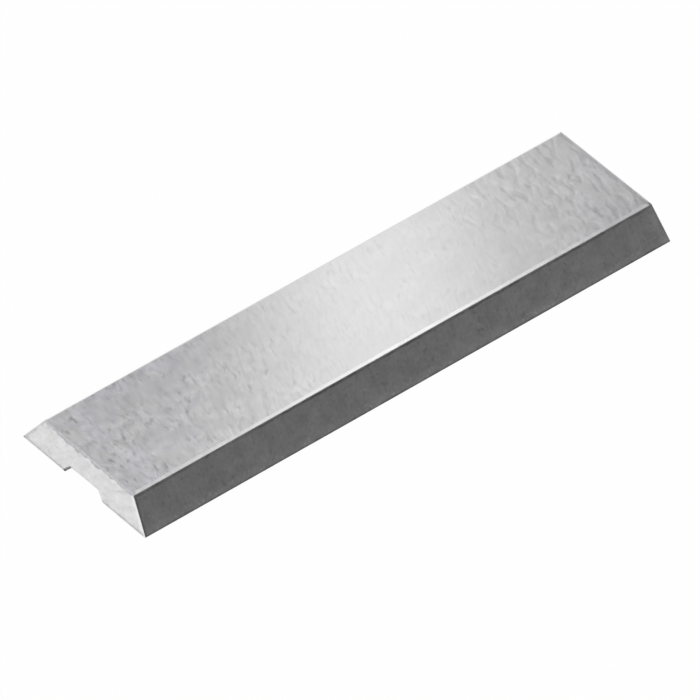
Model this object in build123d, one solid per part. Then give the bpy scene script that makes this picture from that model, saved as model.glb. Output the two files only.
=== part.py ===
from build123d import *
import os

# A reversible carbide insert knife for a woodworking cutter head, ground from one bar of
# tungsten carbide. It lies on its wide back face. Both long sides are bevelled up from
# that face, so the back face ends in a cutting edge on each side, and the knife is turned
# end for end when the first edge is dull. A shallow groove with sloping walls runs the
# whole length of the back face and drops over the locating rib of the head's seat. Each
# end is ground with a small relief, so only the corners of the back face reach the full
# length.
#
# The origin is the centre of the back face. X runs along the cutting edges, Y across the
# knife from edge to edge, and Z through its thickness, away from the back face.

# The ground bar, in millimetres and degrees
knife_length = 20.0  # along the back face, from corner to corner
knife_width = 5.5  # across the back face, from one cutting edge to the other
knife_thickness = 1.1
wedge_angle = 55.0  # between the back face and each bevel
end_relief_angle = 8.0  # each end leans in by this much above the back face
front_edge_break = 0.06  # flat honed along all four edges of the front face

# The locating groove along the back face
groove_mouth_width = 1.7
groove_depth = 0.3
groove_wall_angle = 50.0  # slope of each wall, measured from the back face
groove_root_radius = 0.08
groove_lip_radius = 0.03

# Both profiles stand on the back face and are centred on the origin
STANDING = (Align.CENTER, Align.MIN)


def groove_section():
    """The profile of the groove by itself, with both of its roots rounded."""
    with BuildSketch() as groove:
        Trapezoid(groove_mouth_width, groove_depth, groove_wall_angle, align=STANDING)
        fillet(groove.vertices().group_by(Axis.Y)[-1], groove_root_radius)
    return groove.sketch


def ground_section():
    """The profile ground along the bar: a wedge on each side, less the groove."""
    with BuildSketch(Plane.YZ) as section:
        Trapezoid(knife_width, knife_thickness, wedge_angle, align=STANDING)
        add(groove_section(), mode=Mode.SUBTRACT)
        # Across the back face: a cutting edge, both lips of the groove, a cutting edge
        back_corners = section.vertices().group_by(Axis.Y)[0].sort_by(Axis.X)
        fillet(back_corners[1:3], groove_lip_radius)
    return section.sketch


def end_outline():
    """The knife seen across its edges: full length at the back face, shorter at the front."""
    with BuildSketch(Plane.XZ) as outline:
        Trapezoid(knife_length, knife_thickness, 90 - end_relief_angle, align=STANDING)
    return outline.sketch


def insert_knife():
    """The whole knife as one solid."""
    bar = extrude(ground_section(), knife_length / 2, both=True)
    between_ends = extrude(end_outline(), knife_width / 2, both=True)
    knife = bar & between_ends
    front_face = knife.faces().sort_by(Axis.Z)[-1]
    return chamfer(front_face.edges(), front_edge_break)


knife = insert_knife()
os.makedirs("parts", exist_ok=True)
export_step(knife, "parts/insert_knife.step")

size = knife.bounding_box().size
print(f"insert_knife: {size.X:.3f} x {size.Y:.3f} x {size.Z:.3f} mm")
print(f"solids {len(knife.solids())}, faces {len(knife.faces())}, volume {knife.volume:.3f} mm3")
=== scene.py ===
# %% [markdown]
# # A carbide insert knife on a white table
#
# The knife is a bar of tungsten carbide, 20 mm long, ground on every face. It has no screws,
# no paint and no moving parts, so everything that the eye reads comes from three things: crisp
# true edges, a different grinding finish on each face, and what the polished metal mirrors. Part
# of the light and shade of the faces is also painted into their colours.
#
# The lesson goes the way the real knife is made: cut the blank, grind the bevels and the
# groove, relieve the ends, break the edges, then give each face the finish of its own wheel.

# %% Load the frame
import math

import bmesh
import bpy
from mathutils import Matrix, Vector, geometry, noise


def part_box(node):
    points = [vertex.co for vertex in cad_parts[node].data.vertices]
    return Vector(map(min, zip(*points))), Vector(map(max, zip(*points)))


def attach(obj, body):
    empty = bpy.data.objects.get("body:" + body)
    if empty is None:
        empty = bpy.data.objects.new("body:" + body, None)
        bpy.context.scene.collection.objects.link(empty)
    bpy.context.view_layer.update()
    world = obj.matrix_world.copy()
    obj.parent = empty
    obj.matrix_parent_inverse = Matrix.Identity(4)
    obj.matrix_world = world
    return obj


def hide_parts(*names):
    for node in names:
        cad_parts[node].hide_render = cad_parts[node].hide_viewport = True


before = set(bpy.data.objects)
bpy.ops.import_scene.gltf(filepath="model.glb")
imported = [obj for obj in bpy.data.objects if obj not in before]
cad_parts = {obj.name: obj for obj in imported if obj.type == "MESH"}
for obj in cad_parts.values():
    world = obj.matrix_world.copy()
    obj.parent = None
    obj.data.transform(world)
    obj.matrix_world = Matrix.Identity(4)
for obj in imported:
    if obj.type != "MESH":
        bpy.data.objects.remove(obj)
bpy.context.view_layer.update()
low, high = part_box("insert_knife")
print("nodes", sorted(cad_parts), "box", [round(v * 1000, 3) for v in (*low, *high)], "mm")

# %% [markdown]
# ## Sizes
#
# Blender works in metres and a grinder thinks in millimetres, so every size below is written
# in millimetres and multiplied by `MM` where it becomes geometry. The overall length, width
# and thickness are read from the frame, so the dressed knife follows the solid. Only the shape
# inside that box is given here: the slopes, the groove and the edge breaks. The solid has one
# break all round its front face, and here each kind of edge has its own. Along the two long
# sides the stone took less from the front face than from the bevel, so the flat that it left
# there is turned a little more to the side.

# %% Sizes of the ground knife
MM = 0.001
length, width, thickness = (high - low) / MM
wedge = math.radians(55)  # between the back face and each bevel
relief = math.radians(8)  # lean of each end
groove_mouth = 1.7
groove_depth = 0.3
groove_wall = math.radians(50)  # slope of each wall, measured from the back face
groove_root_radius = 0.08
groove_lip_radius = 0.03

end_break = 0.06  # along the ends of the front face, measured down each of the two faces
side_break = 0.037  # along its long sides, measured across the front face
side_break_on_bevel = 0.065  # and down the bevel
keen_reach = 0.012  # how far the rounding of a keen edge reaches into each face
corner_break = 0.025  # the upright edges between the bevels and the ends

groove_floor = groove_mouth - 2 * groove_depth / math.tan(groove_wall)
front_half_width = width / 2 - thickness / math.tan(wedge)
front_half_length = length / 2 - thickness * math.tan(relief)
print(f"knife {length:.2f} x {width:.2f} x {thickness:.2f} mm, front face "
      f"{2 * front_half_length:.2f} x {2 * front_half_width:.2f} mm, "
      f"groove floor {groove_floor:.2f} mm")

# %% [markdown]
# ## The blank and its grinding passes
#
# The real knife is sawn from a sintered plate and each face is then ground flat. The same
# order works in a mesh. A cube is scaled to the bar's box, and `bisect_plane` acts as the
# grinding wheel: it cuts along a plane and throws away what is outside. The open cut is closed
# with `holes_fill`. Modelling it as a profile and an extrusion would do too, but the ends lean
# while the groove runs straight through, and planes give that corner without any arithmetic.

# %% Grinding wheel
HAIR = 1e-7  # metres: nothing on the knife is this small, so what is nearer is touching
WELD = 1e-8  # metres: a cut that passes a corner this closely goes through the corner


def touching(bm, point, normal):
    """The vertices that lie on a plane."""
    return {v for v in bm.verts if abs((v.co - point).dot(normal)) < HAIR}


def grind(bm, plane):
    """Cuts away what lies outside a plane and closes the cut with one flat face."""
    point, normal = plane
    everything = bm.verts[:] + bm.edges[:] + bm.faces[:]
    bmesh.ops.bisect_plane(
        bm, geom=everything, dist=WELD, plane_co=point, plane_no=normal, clear_outer=True
    )
    bmesh.ops.holes_fill(bm, edges=[e for e in bm.edges if e.is_boundary], sides=0)


def score(bm, place, direction):
    """Draws a line round the bar where a plane meets it, without cutting anything away."""
    everything = bm.verts[:] + bm.edges[:] + bm.faces[:]
    bmesh.ops.bisect_plane(
        bm, geom=everything, dist=WELD, plane_co=Vector(place) * MM, plane_no=direction
    )


# %% Faces of the knife, each as a point and the direction that it looks
back_plane = (Vector((0, 0, 0)), Vector((0, 0, -1)))
front_plane = (Vector((0, 0, thickness * MM)), Vector((0, 0, 1)))
bevel_planes = [
    (Vector((0, side * width / 2 * MM, 0)), Vector((0, side * math.sin(wedge), math.cos(wedge))))
    for side in (-1, 1)
]
end_planes = [
    (Vector((end * length / 2 * MM, 0, 0)), Vector((end * math.cos(relief), 0, math.sin(relief))))
    for end in (-1, 1)
]
for _, normal in bevel_planes + end_planes:
    print("a ground side looks", [round(c, 2) for c in normal])

# %% Saw the blank and grind the groove, the bevels and the ends
knife_mesh = bmesh.new()
bmesh.ops.create_cube(knife_mesh, size=1)
bmesh.ops.scale(knife_mesh, vec=Vector((length, width, thickness)) * MM, verts=knife_mesh.verts)
bmesh.ops.translate(knife_mesh, vec=(0, 0, thickness / 2 * MM), verts=knife_mesh.verts)

for line in (groove_mouth / 2, groove_floor / 2):
    score(knife_mesh, (0, line, 0), (0, 1, 0))
    score(knife_mesh, (0, -line, 0), (0, 1, 0))
halfway = (groove_floor + groove_mouth) / 4 * MM  # between the floor's corners and the mouth's
floor_corners = [v for v in touching(knife_mesh, *back_plane) if abs(v.co.y) < halfway]
bmesh.ops.translate(knife_mesh, vec=(0, 0, groove_depth * MM), verts=floor_corners)

for plane in bevel_planes + end_planes:
    grind(knife_mesh, plane)
print("ground blank:", len(knife_mesh.verts), "corners,", len(knife_mesh.faces), "faces")

# %% [markdown]
# ## Edges
#
# No ground edge is perfectly sharp. The wheel leaves a small root radius in the groove, a
# honing stone breaks the edges of the front face by a few hundredths of a millimetre, and
# even the keen cutting edges end in a radius of less than a hundredth. These tiny facets matter
# more than their size: each one looks in a direction between those of its two faces, so it can
# mirror a lamp that both of them miss, and draw the thin bright line that says "metal".
#
# The roots and lips of the groove are rounded with `bevel`, which works on hollow corners too.
# The outer edges could be bevelled the same way, but where three bevels of different widths
# meet, the corner patch pulls the large faces a little out of flat. So they are cut with
# planes again, as a stone does it. Each edge of the front face and each upright corner gets one
# flat stroke, and each keen edge gets two at turning angles, so that it reads as round.

# %% Honing stone


def edges_on(bm, *planes):
    """The edges whose two ends lie on all of these planes."""
    shared = set.intersection(*(touching(bm, point, normal) for point, normal in planes))
    return [e for e in bm.edges if all(v in shared for v in e.verts)]


def round_off(bm, edges, offset, segments):
    """Rounds edges over with a bevel. Each face beside an edge gives up the offset."""
    bmesh.ops.bevel(
        bm,
        geom=edges,
        offset=offset * MM,
        offset_type="OFFSET",
        affect="EDGES",
        segments=segments,
        profile=0.5,
        material=-1,
        clamp_overlap=True,
    )


def hone(bm, plane, beside, reach, strokes):
    """Rounds the edge between two planes with strokes of a stone at turning angles."""
    (point, normal), (point_beside, normal_beside) = plane, beside
    turn = normal.angle(normal_beside)
    radius = reach * MM / math.tan(turn / 2)
    on_edge, _ = geometry.intersect_plane_plane(point, normal, point_beside, normal_beside)
    outwards = (normal + normal_beside).normalized()
    centre = on_edge - outwards * radius / math.cos(turn / 2)
    for stroke in range(1, strokes + 1):
        facing = normal.slerp(normal_beside, stroke / (strokes + 1))
        grind(bm, (centre + facing * radius, facing))


def break_edge(bm, plane, beside, reach, reach_beside):
    """Breaks an edge with one flat cut, this far down each plane. Returns where it looks."""
    (point, normal), (point_beside, normal_beside) = plane, beside
    on_edge, along = geometry.intersect_plane_plane(point, normal, point_beside, normal_beside)
    down = (normal * normal.dot(normal_beside) - normal_beside).normalized()
    down_beside = (normal_beside * normal.dot(normal_beside) - normal).normalized()
    cut = down * reach * MM - down_beside * reach_beside * MM
    facing = along.cross(cut).normalized()
    if facing.dot(normal) < 0:
        facing.negate()
    grind(bm, (on_edge + down * reach * MM, facing))
    return facing


# %% Round the groove and hone the outer edges
groove_roots = [
    e
    for e in knife_mesh.edges
    if all(abs(v.co.z - groove_depth * MM) < HAIR for v in e.verts)
    and abs(e.verts[0].co.y - e.verts[1].co.y) < HAIR
]
round_off(knife_mesh, groove_roots, groove_root_radius * math.tan(groove_wall / 2), segments=5)
groove_lips = [
    e
    for e in edges_on(knife_mesh, back_plane)
    if all(abs(abs(v.co.y) - groove_mouth / 2 * MM) < HAIR for v in e.verts)
]
round_off(knife_mesh, groove_lips, groove_lip_radius * math.tan(groove_wall / 2), segments=3)

strip_facings = [
    break_edge(knife_mesh, front_plane, side, side_break, side_break_on_bevel)
    for side in bevel_planes
]
for side in end_planes:
    break_edge(knife_mesh, front_plane, side, end_break, end_break)
for side in bevel_planes + end_planes:
    hone(knife_mesh, back_plane, side, keen_reach, strokes=2)
for end_plane in end_planes:
    for bevel_plane in bevel_planes:
        hone(knife_mesh, end_plane, bevel_plane, corner_break, strokes=1)
print("with its edges broken:", len(knife_mesh.verts), "corners,", len(knife_mesh.faces), "faces")

# %% [markdown]
# ## Which wheel ground which face
#
# Five finishes meet on this one piece of metal. A mesh can carry them as material slots, and
# each face names its slot by number. The faces are told apart by where they lie, because after
# so many cuts their order in the mesh means nothing.
#
# The narrow strips are left over when every large face has been named, and that is how they
# get the finish of the honing stone.

# %% Name the finish of every face
FINISHES = ["ground_face", "honed_bevel", "ground_end", "ground_groove", "honed_edge"]
SAME_WAY = 0.999  # cosine of the angle between two directions that count as one


def finish_of(face):
    """The finish that belongs on a face, by the plane that the face lies in."""
    middle = face.calc_center_median()

    def lies_on(plane):
        point, normal = plane
        return abs((middle - point).dot(normal)) < 2 * HAIR and face.normal.dot(normal) > SAME_WAY

    if lies_on(front_plane) or lies_on(back_plane):
        return "ground_face"
    if any(lies_on(plane) for plane in bevel_planes):
        return "honed_bevel"
    if any(lies_on(plane) for plane in end_planes):
        return "ground_end"
    in_groove = abs(middle.y) < groove_mouth / 2 * MM and middle.z < groove_depth * 1.01 * MM
    runs_along = abs(face.normal.x) < 0.1  # a keen strip that goes on over a lip looks along X
    if in_groove and runs_along:
        return "ground_groove"
    return "honed_edge"


for face in knife_mesh.faces:
    face.material_index = FINISHES.index(finish_of(face))
    face.smooth = True
for slot, name in enumerate(FINISHES):
    print(name, "on", sum(f.material_index == slot for f in knife_mesh.faces), "faces")

# %% [markdown]
# ## A line that is not quite straight
#
# On the real knife the honed line along each end wanders a little, because the end was ground
# on a coarser wheel and the stone skips over its chips. The mesh gets rows of points by cutting
# it with many parallel planes. Then every point of the honed strip slides inwards by a smooth
# random amount, most at the front face and not at all at the end face, so the strip changes
# its width without a fold. The long sides wander too, but only by a quarter as much. A
# displace modifier could do this, but it moves points along their normals, and these have to
# slide within the front face, which stays flat.

# %% Cut rows of points and let the honed line wander
row_step = 0.1  # across the knife
column_step = 0.25  # along it
rows = int(front_half_width / row_step)
columns = int(front_half_length / column_step)
for step in range(-rows, rows + 1):
    score(knife_mesh, (0, step * row_step, 0), (0, 1, 0))
for step in range(-columns, columns + 1):
    score(knife_mesh, (step * column_step, 0, 0), (1, 0, 0))

edge_slot = FINISHES.index("honed_edge")
front_strip = {
    v
    for f in knife_mesh.faces
    if f.material_index == edge_slot
    for v in f.verts
    if v.co.z > (thickness - end_break) * MM
}
strip_reach = 1.5 * end_break
end_wander = 0.045
side_wander = 0.012
end_waves = 2200  # noise cells to a metre along an end
side_waves = 1400
across_waves = 90  # hardly changes from one border of a strip to the other
end_slice = 4.0  # ends and sides take different slices of the noise
side_slice = 9.0
end_bias = 0.25  # with none, half of the line would stay straight
side_bias = 0.3
for v in front_strip:
    on_end = abs(v.co.x) > (front_half_length - strip_reach) * MM
    on_side = abs(v.co.y) > (front_half_width - strip_reach) * MM
    if on_end and on_side:
        continue
    depth = (thickness * MM - v.co.z) / (end_break * MM)
    share = max(0.0, 1 - depth * 2)
    if on_end:
        wave = noise.noise(Vector((v.co.x * across_waves, v.co.y * end_waves, end_slice)))
        v.co.x -= math.copysign(share * end_wander * MM * max(0.0, wave + end_bias), v.co.x)
    elif on_side:
        wave = noise.noise(Vector((v.co.x * side_waves, v.co.y * across_waves, side_slice)))
        v.co.y -= math.copysign(share * side_wander * MM * max(0.0, wave + side_bias), v.co.y)

for e in knife_mesh.edges:
    slots = {f.material_index for f in e.link_faces}
    e.smooth = len(slots) < 2
bmesh.ops.recalc_face_normals(knife_mesh, faces=knife_mesh.faces)
print("final mesh:", len(knife_mesh.verts), "points,", len(knife_mesh.faces), "faces,",
      "open edges", sum(not e.is_manifold for e in knife_mesh.edges))

# %% [markdown]
# ## Writing a finish as a sum
#
# A node tree is a formula drawn as boxes. For patterns made of many small terms the formula
# is easier to read than the boxes, so two small classes turn one into the other. A `Field`
# wraps an output socket and knows how to add, subtract and multiply, so `1 - mask` makes a Math
# node. A `Drawing` wraps a node tree, and its `node` method makes any other node from its type,
# its settings and what goes into its sockets.

# %% Fields and drawings


class Field:
    """A value, vector or colour that changes over a surface."""

    def __init__(self, drawing, socket):
        self.drawing = drawing
        self.socket = socket

    def math(self, operation, first, second):
        """Adds one Math node."""
        return self.drawing.node("ShaderNodeMath", {"operation": operation}, {0: first, 1: second})

    def __add__(self, other):
        return self.math("ADD", self, other)

    def __sub__(self, other):
        return self.math("SUBTRACT", self, other)

    def __rsub__(self, other):
        return self.math("SUBTRACT", other, self)

    def __mul__(self, other):
        return self.math("MULTIPLY", self, other)

    __radd__ = __add__
    __rmul__ = __mul__


class Drawing:
    """A node tree that is drawn by calls."""

    def __init__(self, tree):
        self.tree = tree

    def node(self, kind, settings, inputs, out=0):
        """Adds a node with its settings, then its values and links, and returns an output."""
        made = self.tree.nodes.new(kind)
        for name, value in settings.items():
            setattr(made, name, value)
        for name, value in inputs.items():
            if isinstance(value, Field):
                self.tree.links.new(value.socket, made.inputs[name])
            else:
                made.inputs[name].default_value = value
        return Field(self, made.outputs[out]) if made.outputs else None


# %% [markdown]
# ## One material for each wheel
#
# A `Finish` is the drawing of one material, with the few nodes that every pattern here needs:
# soft noise, soft steps and mixed colours. They could be set up anew in each material, but as
# methods they keep the formulas short.
#
# All patterns are laid out in millimetres on Object coordinates. They stay on the metal when
# the camera moves, and a number such as 0.2 reads as the width of a grinding mark.

# %% Finishes


class Finish(Drawing):
    """One material: a Principled shader and the nodes that feed it."""

    def __init__(self, name, **constants):
        self.material = bpy.data.materials.new(name)
        self.material.use_nodes = True
        super().__init__(self.material.node_tree)
        self.shader = self.tree.nodes["Principled BSDF"]
        for socket, value in constants.items():
            self.shader.inputs[socket.replace("_", " ")].default_value = value
        place = self.node("ShaderNodeTexCoord", {}, {}, "Object")
        self.place = self.node(
            "ShaderNodeVectorMath", {"operation": "SCALE"}, {"Vector": place, "Scale": 1 / MM}
        )
        apart = self.node("ShaderNodeSeparateXYZ", {}, {"Vector": self.place})
        self.x, self.y, self.z = (Field(self, output) for output in apart.socket.node.outputs)

    def point(self, x, y, z):
        """A place in the pattern, from three coordinates."""
        return self.node("ShaderNodeCombineXYZ", {}, {"X": x, "Y": y, "Z": z})

    def blotches(self, place, size, detail, shift=0.0):
        """Soft noise around 0.5 with blotches of this size, as three lengths in millimetres.

        A shift takes the noise from somewhere else, so that two patterns don't match.
        """
        laid = self.node(
            "ShaderNodeMapping",
            {"vector_type": "TEXTURE"},
            {"Vector": place, "Location": (shift, -shift, shift), "Scale": size},
        )
        settings = {"noise_dimensions": "3D", "normalize": True}
        inputs = {"Vector": laid, "Scale": 1.0, "Detail": detail, "Roughness": 0.5, "Distortion": 0.0}
        return self.node("ShaderNodeTexNoise", settings, inputs, "Fac")

    def rise(self, value, start, end):
        """A soft step: 0 below the start, 1 above the end."""
        settings = {"interpolation_type": "SMOOTHSTEP", "clamp": True}
        inputs = {"Value": value, "From Min": start, "From Max": end, "To Min": 0.0, "To Max": 1.0}
        return self.node("ShaderNodeMapRange", settings, inputs)

    def blend(self, share, colour, other):
        """Goes from the first colour to the other as the share goes from 0 to 1."""
        settings = {"data_type": "RGBA", "clamp_factor": True}
        return self.node("ShaderNodeMix", settings, {0: share, 6: colour, 7: other}, 2)

    def dim(self, colour, level):
        """Multiplies a colour by a grey level."""
        even = self.point(level, level, level)
        return self.node("ShaderNodeVectorMath", {"operation": "MULTIPLY"}, {0: colour, 1: even})

    def absolute(self, value):
        """The value without its sign."""
        return self.node("ShaderNodeMath", {"operation": "ABSOLUTE"}, {0: value})

    def larger(self, first, second):
        """The larger of two values at each point."""
        return self.node("ShaderNodeMath", {"operation": "MAXIMUM"}, {0: first, 1: second})

    def show(self, colour, roughness, height):
        """Connects the results. The height is in millimetres."""
        bump = self.node(
            "ShaderNodeBump", {}, {"Strength": 1.0, "Distance": MM, "Height": height}, "Normal"
        )
        for socket, field in (("Base Color", colour), ("Roughness", roughness), ("Normal", bump)):
            self.tree.links.new(field.socket, self.shader.inputs[socket])


def grey(level, blue=0.0):
    """A nearly neutral metal colour, with a touch of blue if asked."""
    return (level, level, level + blue, 1.0)


# %% [markdown]
# ## The wide faces
#
# The front and back faces come off a cup wheel, whose grains leave marks that run across the
# knife in leaning arcs. The path of a wheel could be drawn with true circles, but the marks are
# short and torn, so it is enough to lay noise on a skewed coordinate. `run` counts the marks
# along the knife. Taking a share of `y` away from `x` makes them lean, most a little right of
# the middle, and `waver` bends them on their way.

# %% Coordinates along the wheel's path
wide = Finish("ground_face", Metallic=1.0)
most_lean = 0.42
most_lean_at = 2.0  # millimetres to the right of the middle
lean_loss = 0.0022  # times the square of the distance from there
from_there = wide.x - most_lean_at
lean = most_lean - from_there * from_there * lean_loss
waver = wide.blotches(wide.place, (0.9, 0.7, 1.0), detail=2.0, shift=21.0) - 0.5
run = wide.x - wide.y * lean + wide.y * wide.y * 0.02 + waver * 0.30
on_wheel = wide.point(run, wide.y, wide.z)
one_step_on = wide.point(run + 0.07, wide.y + 0.03, wide.z)

furrow_run = wide.x - wide.y * (lean - 0.08) + waver * 0.36
furrow_place = wide.point(furrow_run, wide.y, wide.z)
lip_place = wide.point(furrow_run - 0.10, wide.y, wide.z)
print("lean of the marks: at most", most_lean, "and at the left end",
      round(most_lean - lean_loss * (length / 2 + most_lean_at) ** 2, 2))

# %% [markdown]
# ## Marks of the wheel
#
# Several kinds of marks lie over each other. `ridges` are the plain scratches, and the
# difference between them and the same ridges one step further on gives each a light flank and a
# dark one. These are painted highlight and painted shade, as the relief would catch the light.
# `pebbles` and `lumps` are the uneven ground that pulled-out grains of carbide leave, fine and
# coarse, and the chips are short pits, darkened with painted shade. Towards the right end come
# longer furrows, darkened with painted shade, each with a bright lip beside it that is painted
# highlight. There are also thin crooked `curls`, which are the places where a noise passes
# through its middle value.
#
# One noise with more detail would be quicker, but it looks like cloud. It is the different
# lengths and directions that read as grinding, and `torn` lets the small marks come and go in
# patches, because an even pattern never looks ground.

# %% Marks on the wide faces
patches = wide.blotches(wide.place, (1.2, 0.9, 2.0), detail=2.0, shift=11.0)
torn = wide.rise(patches, 0.40, 0.60) * 0.85 + 0.45

ridge_size = (0.19, 0.55, 1.0)
ridges = wide.rise(wide.blotches(on_wheel, ridge_size, detail=1.0), 0.40, 0.60)
# painted highlight and painted shade: a light and a dark flank for each ridge
relief_painted_shading = ridges - wide.rise(wide.blotches(one_step_on, ridge_size, detail=1.0), 0.40, 0.60)
pebbles = wide.blotches(on_wheel, (0.22, 0.26, 0.5), detail=1.5, shift=3.0)
lumps = wide.blotches(on_wheel, (0.48, 0.60, 0.5), detail=1.0, shift=17.0)
grit = wide.blotches(wide.place, (0.05, 0.05, 0.05), detail=1.0, shift=8.0)
# painted shade: darkens short pits
chip_painted_shade = wide.rise(wide.blotches(on_wheel, (0.17, 0.40, 0.3), detail=1.2, shift=5.0), 0.56, 0.74)

furrow_size = (0.24, 0.62, 1.0)
# painted shade in each furrow; the next line puts a painted highlight on the lip beside it
furrow_painted_shade = wide.rise(wide.blotches(furrow_place, furrow_size, detail=0.0, shift=33.0), 0.53, 0.67)
lip_painted_highlight = wide.rise(wide.blotches(lip_place, furrow_size, detail=0.0, shift=33.0), 0.53, 0.67)
bends = wide.absolute(wide.blotches(wide.place, (0.40, 0.46, 0.5), detail=1.5, shift=51.0) - 0.5)
curls = 1 - wide.rise(bends, 0.0, 0.035)
print("marks across and along, in mm: ridges", ridge_size[:2], "furrow_painted_shade", furrow_size[:2])

# %% [markdown]
# ## Where the marks lie
#
# The middle of the face is almost calm and both ends are rough, so `towards_ends` grows from a
# third to one on each side. The other shares pick out the regions where the real knife looks
# different. They could be painted by hand as a mask, but a soft step on a coordinate needs no
# image, has no visible border and is easy to move. The two numbers of a `rise` on a coordinate
# are the places, in millimetres, where its step starts and ends.

# %% Shares of the wide face
towards_ends = (wide.rise(wide.x * -1.0, 0.5, 8.5) + wide.rise(wide.x, 2.7, 9.2)) * 0.67 + 0.33
towards_left = wide.rise(wide.y - wide.x, 4.3, 7.0)  # more on the far side
towards_right = wide.rise(wide.x - wide.y * 0.8, 7.2, 9.8)  # more on the near side
left_quarter = wide.rise(wide.x * -1.0, 3.0, 7.0)
left_border = wide.rise(wide.x * -1.0, 7.8, 9.4)
right_half = wide.rise(wide.x, 2.0, 6.0)
right_line = wide.rise(wide.x, 9.62, 9.72)  # a darker line just inside the right edge
near_corner = wide.rise(wide.x, 6.5, 10.0) * wide.rise(wide.y * -1.0, 0.6, 2.0)
# painted highlight: towards the left end the near side is painted lighter and the far side darker, so
# that the lamp's reflection runs across the face at a slant
painted_highlight_tilt = wide.rise(wide.x * -1.0, 1.5, 5.0) * wide.rise(wide.x, -9.6, -7.5) * wide.y * -0.035

furrow_front = wide.x - wide.absolute(wide.y - 0.6) * 0.9  # reaches furthest left at y = 0.6
furrows_clear = wide.rise(furrow_front, 3.4, 5.6) + towards_left * 0.3
cool_spots = wide.blotches(wide.place, (1.1, 0.9, 2.0), detail=2.0, shift=41.0)
cool = (towards_left + towards_right * 0.7) * (wide.rise(cool_spots, 0.35, 0.62) * 0.8 + 0.2)
print("shares of the wide face use", len(wide.tree.nodes), "nodes so far")

# %% [markdown]
# ## Colour and height of the wide faces
#
# No mark is much deeper than a thousandth of a millimetre. They could all go into the bump, but
# then they would show only where the mirrored lamp fades, and vanish where it is full. So most
# of each mark is a change of colour, which for a metal is the share of light that it mirrors,
# and a weak height keeps the surface alive when the light moves. For the flanks of the ridges,
# the chips, the furrows and their lips, that change of colour is painted shade and painted
# highlight. The numbers in the sums are weights: how much lighter or darker a mark makes the
# metal where it is strongest. Patches towards both ends are a little cooler in colour, as on the
# real knife.

# %% Finish of the wide faces
# the flank and chip terms here, and the furrow and lip terms below, are painted shade and painted
# highlight
torn_marks = (
    relief_painted_shading * 0.06
    - wide.absolute(relief_painted_shading) * 0.05
    + (pebbles - 0.5) * 0.38
    + (grit - 0.5) * 0.18
    - chip_painted_shade * (towards_left * 0.06 + left_border * 0.08 + near_corner * 0.10 + 0.16)
)
marks = (
    torn_marks * torn * (1 - right_half * 0.28)
    + (lip_painted_highlight * 0.08 - furrow_painted_shade * 0.13) * furrows_clear
    - curls * towards_right * 0.06
    + (lumps - 0.5) * (left_quarter * 0.10 + 0.24)
    + (patches - 0.5) * (left_quarter * 0.10 + 0.22)
)
face_level = (
    marks * towards_ends
    + towards_ends * 0.03
    + 1.002
    + painted_highlight_tilt
    - right_line * 0.15
    - near_corner * 0.13
)
cool_carbide = (0.634, 0.629, 0.661, 1.0)
face_colour = wide.dim(wide.blend(cool, grey(0.63, 0.001), cool_carbide), face_level)
face_roughness = (pebbles - 0.5) * towards_ends * 0.04 + 0.21
relief_height = (ridges * 0.0006 + pebbles * 0.0008) * towards_ends * (1 - right_half * 0.2)
wide.show(face_colour, face_roughness, relief_height)
print("ground_face:", len(wide.tree.nodes), "nodes")

# %% [markdown]
# ## Borders of the bevels
#
# Along each border of a bevel runs a narrow darker line, uneven as a stone leaves it. Above the
# upper one lies a lighter line, a painted highlight that carries on the glow of the bright honed
# strip, and near the right end a second painted highlight runs just inside the end's border.
# They could be thin strips of mesh, but a line that fades and breaks off is easier in the finish,
# where the borders are found from the coordinates alone. `up` is the distance along the slope
# from the cutting edge, `below_strip` the distance down from the honed strip, and `from_end` the
# distance from the nearer end.

# %% Borders of the bevels
bevel = Finish("honed_bevel", Metallic=1.0)
slope_length = thickness / math.sin(wedge)
up = bevel.z * (1 / math.sin(wedge))
from_end = length / 2 - bevel.absolute(bevel.x) - bevel.z * math.tan(relief)
wobble = (bevel.blotches(bevel.place, (0.35, 0.35, 0.35), detail=1.0) - 0.5) * 0.05
below_strip = slope_length - side_break_on_bevel - up + wobble
away_from_middle = bevel.rise(bevel.absolute(bevel.x - 1.0), 3.5, 8.0)
right_side = bevel.rise(bevel.x, -1.0, 1.0)

# painted highlight: a lighter band just below the honed strip
top_painted_highlight = 1 - bevel.rise(below_strip, 0.01, 0.04)
top_line = bevel.rise(below_strip, 0.015, 0.045) * (1 - bevel.rise(below_strip, 0.06, 0.12))
top_line = top_line * (1.25 - away_from_middle * 0.50)
low_line = 1 - bevel.rise(up + wobble, 0.02, 0.07)
end_line = 1 - bevel.rise(from_end - corner_break + wobble, 0.02, 0.10)
uneven = bevel.rise(bevel.blotches(bevel.place, (0.40, 0.30, 0.30), detail=1.5, shift=19.0), 0.36, 0.60)
long_lines = bevel.larger(top_line, low_line) * (uneven * 0.6 + 0.6)
border = bevel.larger(long_lines, end_line * (1.1 - right_side * 0.6))
inside_low_line = bevel.rise(up + wobble, 0.04, 0.10) * (1 - bevel.rise(up, 0.14, 0.32))
# painted highlight: a light line just inside the right end of the bevel
right_painted_highlight = bevel.rise(from_end * -1.0, -0.45, -0.15) * right_side
print("the slope of a bevel is", round(slope_length, 3), "mm long")

# %% [markdown]
# ## The bevels
#
# The bevels carry the cutting edges, so they are lapped with the finest wheel. That leaves them
# smoother than the rest, with only a faint cloudiness, hair-fine strokes up the slope, a few pits
# and bright grains just inside the lower border. Their colour is set much darker than the front
# face's. That is painted shade for part of the dark that the real bevel mirrors, and the pits are
# darkened with painted shade too. The strokes are the same noise as the clouds, only pulled long:
# narrow along X and wide across it.

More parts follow.
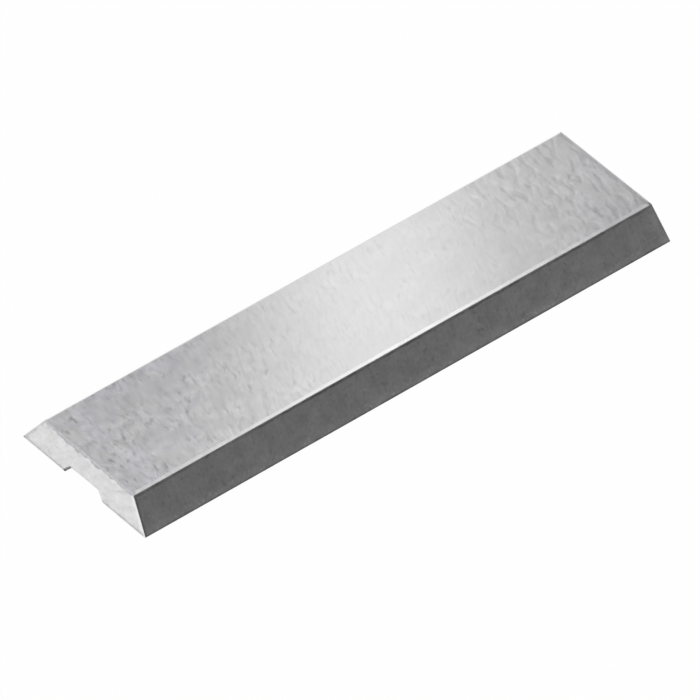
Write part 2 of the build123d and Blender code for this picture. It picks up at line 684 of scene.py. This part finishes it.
# %% Finish of the bevels
clouds = bevel.blotches(bevel.place, (0.55, 0.45, 0.45), detail=3.0, shift=4.0)
strokes = bevel.blotches(bevel.place, (0.05, 1.2, 1.2), detail=1.0, shift=9.0)
fine_grit = bevel.blotches(bevel.place, (0.10, 0.10, 0.10), detail=0.5, shift=15.0)
grains = bevel.rise(bevel.blotches(bevel.place, (0.12, 0.12, 0.12), detail=1.0, shift=6.0), 0.58, 0.76)
# painted shade: darkens a few pits
pit_painted_shade = bevel.rise(bevel.blotches(bevel.place, (0.14, 0.16, 0.16), detail=1.0, shift=27.0), 0.58, 0.74)
bevel_level = (
    (clouds - 0.5) * 0.42
    + (strokes - 0.5) * 0.14
    + (fine_grit - 0.5) * 0.20
    + 1.05
    - up * 0.05
    + inside_low_line * 0.10
    + grains * (inside_low_line * 0.24 + 0.08)
    - pit_painted_shade * 0.14
    + right_painted_highlight * 0.20
    + top_painted_highlight * 0.30
    - border * 0.34
)
# painted shade: the bevel's metal colour is set far darker than the front face's, for part of the dark
# that it mirrors
bevel_colour = bevel.dim(bevel.blend(clouds, grey(0.375), grey(0.39)), bevel_level)
bevel_roughness = (clouds - 0.5) * 0.08 + 0.20
bevel.show(bevel_colour, bevel_roughness, strokes * 0.00012 + clouds * 0.0010)
print("honed_bevel:", len(bevel.tree.nodes), "nodes")

# %% [markdown]
# ## Borders of the ends
#
# Each border of an end looks different. On the near bevel's side a light rim is painted
# highlight, and on the far side a darker rim is painted shade. A thin dark line follows the lower
# edge, and at the left end a dark line beside the far wall of the groove is painted shade, where
# the rounded corner there turns from the light. At the top, a band in small steps carries the
# darker tone of the front face. It is painted shade for an edge that is taken as rolled over, so
# that it faces up like the front face. `ragged` and `steps` are noises that move a border to and
# fro, which is simpler than cutting every chip into the mesh.

# %% Borders of the ends
end = Finish("ground_end", Metallic=1.0)
ragged = (end.blotches(end.place, (1.0, 0.16, 0.16), detail=2.0, shift=13.0) - 0.5) * 0.20
steps = (end.blotches(end.place, (1.0, 0.30, 0.30), detail=2.5, shift=23.0) - 0.5) * 0.30
far_corner = end.rise(end.y, 1.3, 1.9)
# painted shade: a darker band in small steps at the top of each end
rolled_edge_painted_shade = end.rise(end.z + steps - far_corner * 0.05, 0.99, 1.015)

from_near_bevel = (end.y + width / 2) * math.sin(wedge) - end.z * math.cos(wedge)
from_far_bevel = (width / 2 - end.y) * math.sin(wedge) - end.z * math.cos(wedge)
# painted highlight along the near bevel's side, painted shade along the far one
near_rim_painted_highlight = 1 - end.rise(from_near_bevel + ragged, 0.05, 0.15)
far_rim_painted_shade = 1 - end.rise(from_far_bevel + ragged, 0.05, 0.12)
foot_line = 1 - end.rise(end.z + ragged * 0.3, 0.06, 0.12)

left_end = 1 - end.rise(end.x, -1.0, 1.0)
# painted shade along the groove's far wall at the left end
from_wall = (end.y - groove_mouth / 2) * math.sin(groove_wall) + end.z * math.cos(groove_wall)
beside_wall = 1 - end.rise(from_wall + ragged * 0.2, 0.05, 0.11)
beside_wall = beside_wall * end.rise(end.y, 0.3, 0.4) * left_end
wall_painted_shade = beside_wall * (1 - end.rise(end.z, 0.28, 0.34))
print("borders of an end use", len(end.tree.nodes), "nodes")

# %% [markdown]
# ## The ends
#
# The ends are parted and ground on a coarse wheel and never honed. They are rougher than any
# other face, so they look matt, with soft streaks and flecks where the wheel left them at an
# angle. Their colour is set paler than the front face's, and that paler part is a painted
# reflection of the white floor that they mirror. `slant` turns the two coordinates of the face, so
# that one noise can be pulled long along that angle. A rotated Mapping node would do the same.

# %% Finish of the ends
slant = math.radians(38)
across_streak = end.y * math.sin(slant) + end.z * math.cos(slant)
along_streak = end.y * math.cos(slant) - end.z * math.sin(slant)
on_slant = end.point(end.x, along_streak, across_streak)
streaks = end.blotches(on_slant, (1.0, 0.8, 0.16), detail=1.5)
flecks = end.rise(end.blotches(on_slant, (1.0, 0.34, 0.15), detail=1.5, shift=31.0), 0.56, 0.70)
cloud = end.blotches(end.place, (1.0, 0.42, 0.30), detail=1.5, shift=8.0)
coarse_grit = end.blotches(end.place, (0.08, 0.08, 0.08), detail=2.0, shift=15.0)
bright_lip = end.rise(end.z + ragged, 0.90, 0.985) * end.rise(streaks, 0.45, 0.70)
end_level = (
    (streaks - 0.5) * 0.26
    + (cloud - 0.5) * 0.30
    + (coarse_grit - 0.5) * 0.22
    + 1.008
    - flecks * 0.08
    + bright_lip * 0.07
    + near_rim_painted_highlight * 0.16
    - far_rim_painted_shade * 0.18
    - foot_line * 0.22
    - wall_painted_shade * 0.70
)
# partly painted reflection: the ends' metal colour is set paler than the front face's, for the white
# floor that they mirror
end_colour = end.dim(end.blend(cloud, grey(0.76), grey(0.76, 0.001)), end_level)
# painted shade: the darker colours of the band at the top of each end
rolled_shade_dark = (0.36, 0.355, 0.375, 1.0)
rolled_shade_light = (0.64, 0.635, 0.66, 1.0)
rolled_edge_shaded_colour = end.blend(coarse_grit, rolled_shade_dark, rolled_shade_light)
end_roughness = (cloud - 0.5) * 0.12 + 0.46
end_height = streaks * 0.0010 + cloud * 0.0014
end.show(end.blend(rolled_edge_painted_shade, end_colour, rolled_edge_shaded_colour), end_roughness, end_height)
print("ground_end:", len(end.tree.nodes), "nodes")

# %% [markdown]
# ## The groove
#
# A thin wheel cuts the groove in one pass along the knife, so its marks are long parallel
# lines that grow fainter and stronger on their way. They could be modelled one by one, but
# noise that is stretched along X draws them all at once.

# %% Finish of the groove
groove = Finish("ground_groove", Metallic=1.0)
lines = groove.blotches(groove.place, (9.0, 0.035, 0.035), detail=2.0)
breaks = groove.blotches(groove.place, (0.8, 0.1, 0.1), detail=1.0, shift=5.0)
groove_level = (lines - 0.5) * 0.22 + (breaks - 0.5) * 0.10 + 1.0
groove_colour = groove.dim(groove.blend(breaks, grey(0.56), grey(0.58, 0.005)), groove_level)
groove_roughness = (breaks - 0.5) * 0.10 + 0.34
groove.show(groove_colour, groove_roughness, lines * 0.0018)
print("ground_groove:", len(groove.tree.nodes), "nodes")

# %% [markdown]
# ## The honed edges
#
# The stone polishes the narrow strips brighter than the faces beside them. Here and there it
# skipped a chip, so the brightness and the polish come and go along the edge. Across the ends it
# worked on coarser grain: there the strip is specked, cooler at the left end and darker at the
# right. One finish serves all strips, because they differ by place and not by kind.

# %% Finish of the honed edges
stone = Finish("honed_edge", Metallic=1.0)
across_end = stone.rise(stone.absolute(stone.x), 9.66, 9.74) * stone.rise(stone.z, 0.98, 1.02)
right_end = stone.rise(stone.x, 9.0, 9.5)
outer_part = stone.rise(stone.absolute(stone.x), 9.78, 9.82)
left_part = stone.rise(stone.x * -1.0, 3.0, 7.0)
skips = stone.blotches(stone.place, (0.28, 0.28, 0.28), detail=2.0, shift=1.0)
specks = stone.blotches(stone.place, (0.10, 0.14, 0.10), detail=2.0, shift=7.0)
stone_level = (
    (skips - 0.5) * 0.24
    + (specks - 0.5) * across_end * 0.55
    + 1.02
    + outer_part * 0.22
    + left_part * 0.06
    - across_end * (right_end * 0.24 + 0.05)
    - outer_part * right_end * 0.38
)
cool_stone = (0.60, 0.595, 0.62, 1.0)
side_metal = stone.blend(skips, grey(0.66), grey(0.68))
stone_metal = stone.blend(across_end * (1 - right_end), side_metal, cool_stone)
stone_colour = stone.dim(stone_metal, stone_level)
stone_roughness = (skips - 0.5) * 0.10 + 0.25
stone.show(stone_colour, stone_roughness, skips * 0.0008)
print("honed_edge:", len(stone.tree.nodes), "nodes")

# %% [markdown]
# ## The finished knife
#
# The bmesh becomes an object at the origin, with its finishes in the order that the faces
# name them. It rides on the one body of the frame and stands for the CAD solid, which stays
# for collision.

# %% Put the knife in the scene
knife_data = bpy.data.meshes.new("carbide_knife")
knife_mesh.to_mesh(knife_data)
knife_mesh.free()
for finish in (wide, bevel, end, groove, stone):
    knife_data.materials.append(finish.material)
knife = bpy.data.objects.new("carbide_knife", knife_data)
bpy.context.scene.collection.objects.link(knife)
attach(knife, "root")
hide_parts("insert_knife")
print("carbide_knife:", [m.name for m in knife_data.materials])

# %% [markdown]
# ## The camera
#
# The photograph looks down on the knife from its left front, from far away with a long lens.
# Its angles were measured from the straight edges of the knife. A camera looks along its own
# minus Z, so its matrix is built from three directions: right, up and back. The small roll
# turns right and up about the line of sight, and two small shifts put the knife where it
# stands in the frame.

# %% Camera
camera_azimuth = math.radians(41.586)
camera_elevation = math.radians(42.813)
camera_roll = math.radians(-1.739)
camera_distance = 472.7
knife_right_of_centre = -0.0264
knife_above_centre = 0.3447
picture_width = 700  # pixels
pixels_per_millimetre = 34.490  # at the knife
millimetres_across = picture_width / pixels_per_millimetre

back = Vector((
    -math.sin(camera_azimuth) * math.cos(camera_elevation),
    -math.cos(camera_azimuth) * math.cos(camera_elevation),
    math.sin(camera_elevation),
))
level_right = Vector((math.cos(camera_azimuth), -math.sin(camera_azimuth), 0))
level_up = back.cross(level_right)
right = level_right * math.cos(camera_roll) - level_up * math.sin(camera_roll)
up_in_frame = level_right * math.sin(camera_roll) + level_up * math.cos(camera_roll)

lens_data = bpy.data.cameras.new("camera")
lens_data.sensor_width = 36.0
lens_data.lens = lens_data.sensor_width * camera_distance / millimetres_across
camera = bpy.data.objects.new("camera", lens_data)
eye = back * camera_distance - right * knife_right_of_centre - up_in_frame * knife_above_centre
turned = Matrix((right, up_in_frame, back)).transposed().to_4x4()
camera.matrix_world = Matrix.Translation(eye * MM) @ turned
bpy.context.scene.collection.objects.link(camera)
bpy.context.scene.camera = camera
print("lens", round(lens_data.lens, 1), "mm, camera at", [round(c, 1) for c in eye], "mm")

# %% [markdown]
# ## Light
#
# Polished metal shows little of its own and mostly what stands around it, so lighting a knife
# is arranging what it mirrors. Each large face looks in one direction, found by reflecting the
# line of sight in it:
#
# - the front face mirrors a spot above the far right, where a small soft lamp hangs close by.
#   Close, because only a near lamp fades from the middle of the face to its ends;
# - the flat honed along the near edge mirrors another spot, and a second small lamp that hangs
#   there is the bright line along the knife;
# - the near bevel mirrors the space in front of the knife and to its right;
# - the left end mirrors the floor.
#
# One large lamp would be simpler, but it would fill the whole front face with one even tone.

# %% Lamps


def mirrored(normal):
    """Where a face sends the camera's line of sight."""
    return (2 * back.dot(normal) * normal - back).normalized()


def hanging_lamp(name, spot, towards, height, size, brightness, turn=0.0):
    """A rectangular lamp that faces down and hangs where a spot on the knife mirrors it."""
    data = bpy.data.lights.new(name, "AREA")
    data.shape = "RECTANGLE"
    data.size, data.size_y = (side * MM for side in size)
    data.energy = brightness * math.pi * data.size * data.size_y
    lamp = bpy.data.objects.new(name, data)
    place = Vector(spot) + towards * (height / towards.z)
    lamp.matrix_world = Matrix.Translation(place * MM) @ Matrix.Rotation(turn, 4, "Z")
    lamp.visible_camera = False
    bpy.context.scene.collection.objects.link(lamp)
    print(name, "at", [round(c, 1) for c in place], "mm")


front_view = mirrored(front_plane[1])
bevel_view = mirrored(bevel_planes[0][1])
print("front face mirrors", [round(c, 2) for c in front_view],
      "bevel mirrors", [round(c, 2) for c in bevel_view])
hanging_lamp(
    "face_lamp",
    spot=(1.2, 0, thickness),
    towards=front_view,
    height=37,
    size=(6.5, 18),
    brightness=0.81,
    turn=math.radians(-32),
)
hanging_lamp(
    "edge_lamp",
    spot=(-0.5, -front_half_width, thickness),
    towards=mirrored(strip_facings[0]),
    height=36,
    size=(8, 20),
    brightness=1.55,
)

# %% [markdown]
# ## The dark card
#
# The near bevel is the darkest face in the photograph. Where it looks, a photographer holds a
# dark card, and here the card is one square that is stretched to its size and turned towards
# the knife. Dark paint would do, but it would be lighter or darker with every change of a lamp,
# and a plain emission stays at the grey that is written. The card is no part of the knife, and
# it is seen in reflections only.

# %% Dark card
card_width = 150
card_height = 75
card_distance = 70
card_lift = 24
card_lean = 0.1  # its top leans towards the knife by about this share of its height
card_level = 0.32
card_mesh = bmesh.new()
bmesh.ops.create_grid(card_mesh, x_segments=1, y_segments=1, size=0.5)
card_data = bpy.data.meshes.new("dark_card")
card_mesh.to_mesh(card_data)
card_mesh.free()
card = bpy.data.objects.new("dark_card", card_data)
card_facing = Vector((bevel_view.x, bevel_view.y, card_lean)).normalized()
card_turn = card_facing.to_track_quat("Z", "Y").to_matrix().to_4x4()
card_spread = Matrix.Diagonal((card_width * MM, card_height * MM, 1, 1))
card_place = card_facing * card_distance + Vector((0, 0, card_lift))
card.matrix_world = Matrix.Translation(card_place * MM) @ card_turn @ card_spread
card_paint = bpy.data.materials.new("dark_card")
card_paint.use_nodes = True
card_paint.node_tree.nodes.clear()
on_card = Drawing(card_paint.node_tree)
card_glow = on_card.node("ShaderNodeEmission", {}, {"Color": grey(card_level), "Strength": 1.0})
on_card.node("ShaderNodeOutputMaterial", {}, {"Surface": card_glow})
card_data.materials.append(card_paint)
bpy.context.scene.collection.objects.link(card)
card.visible_camera = False
card.visible_diffuse = False
card.visible_shadow = False
print("dark_card at", [round(c, 1) for c in card_place], "mm")

# %% [markdown]
# ## The floor
#
# The photograph's background is pure white. The floor is white paint that also glows for the
# camera and for reflections, so it stays white while no lamp has to be turned up for it. A
# small share of plain paint is left in the mix, and that share carries the knife's shadow.

# %% Floor
floor_reach = 1.5  # metres, from the knife to each border of the floor
floor_gap = 0.01  # keeps the back face and the floor from sharing one plane
floor_mesh = bmesh.new()
bmesh.ops.create_grid(floor_mesh, x_segments=1, y_segments=1, size=floor_reach)
bmesh.ops.translate(floor_mesh, vec=(0, 0, -floor_gap * MM), verts=floor_mesh.verts)
floor_data = bpy.data.meshes.new("floor")
floor_mesh.to_mesh(floor_data)
floor_mesh.free()
floor = bpy.data.objects.new("floor", floor_data)
bpy.context.scene.collection.objects.link(floor)
print("floor", 2 * floor_reach, "m wide, at", -floor_gap, "mm")

# %% White paint of the floor
paint = Finish("white_floor", Roughness=0.9)
paint.shader.inputs["Base Color"].default_value = grey(0.90)
rays = {
    name: paint.node("ShaderNodeLightPath", {}, {}, f"Is {name} Ray")
    for name in ("Camera", "Glossy", "Transmission")
}
glowing_share = 0.98
seen = (rays["Camera"] + rays["Glossy"] + rays["Transmission"]) * glowing_share
glow = paint.node("ShaderNodeEmission", {}, {"Color": grey(1.0), "Strength": 1.0})
plain = Field(paint, paint.shader.outputs[0])
mixed = paint.node("ShaderNodeMixShader", {}, {0: seen, 1: plain, 2: glow})
paint.tree.links.new(mixed.socket, paint.tree.nodes["Material Output"].inputs["Surface"])
floor_data.materials.append(paint.material)

# %% [markdown]
# ## The room
#
# The world is a white room with a dimmer ceiling, and the metal mirrors both. A soft step on
# the height of a direction goes from one to the other. The camera sees plain white all round,
# so that no border shows in the picture where the floor ends.

# %% World
world = bpy.data.worlds.new("white_room")
bpy.context.scene.world = world
world.use_nodes = True
world.node_tree.nodes.clear()
sky = Drawing(world.node_tree)
direction = sky.node("ShaderNodeTexCoord", {}, {}, "Generated")
elevation = sky.node("ShaderNodeSeparateXYZ", {}, {"Vector": direction}, "Z")
walls_end = 0.12  # sine of the angle above the horizon
ceiling_starts = 0.45
ceiling = sky.node(
    "ShaderNodeMapRange",
    {"interpolation_type": "SMOOTHSTEP"},
    {"Value": elevation, "From Min": walls_end, "From Max": ceiling_starts},
)
room = sky.node("ShaderNodeMix", {"data_type": "RGBA"}, {0: ceiling, 6: grey(0.95), 7: grey(0.70)}, 2)
camera_ray = sky.node("ShaderNodeLightPath", {}, {}, "Is Camera Ray")
shown = sky.node("ShaderNodeMix", {"data_type": "RGBA"}, {0: camera_ray, 6: room, 7: grey(1.0)}, 2)
background = sky.node("ShaderNodeBackground", {}, {"Color": shown, "Strength": 1.0})
sky.node("ShaderNodeOutputWorld", {}, {"Surface": background})

bpy.context.scene.view_settings.view_transform = "Standard"
print("world nodes:", len(sky.tree.nodes))
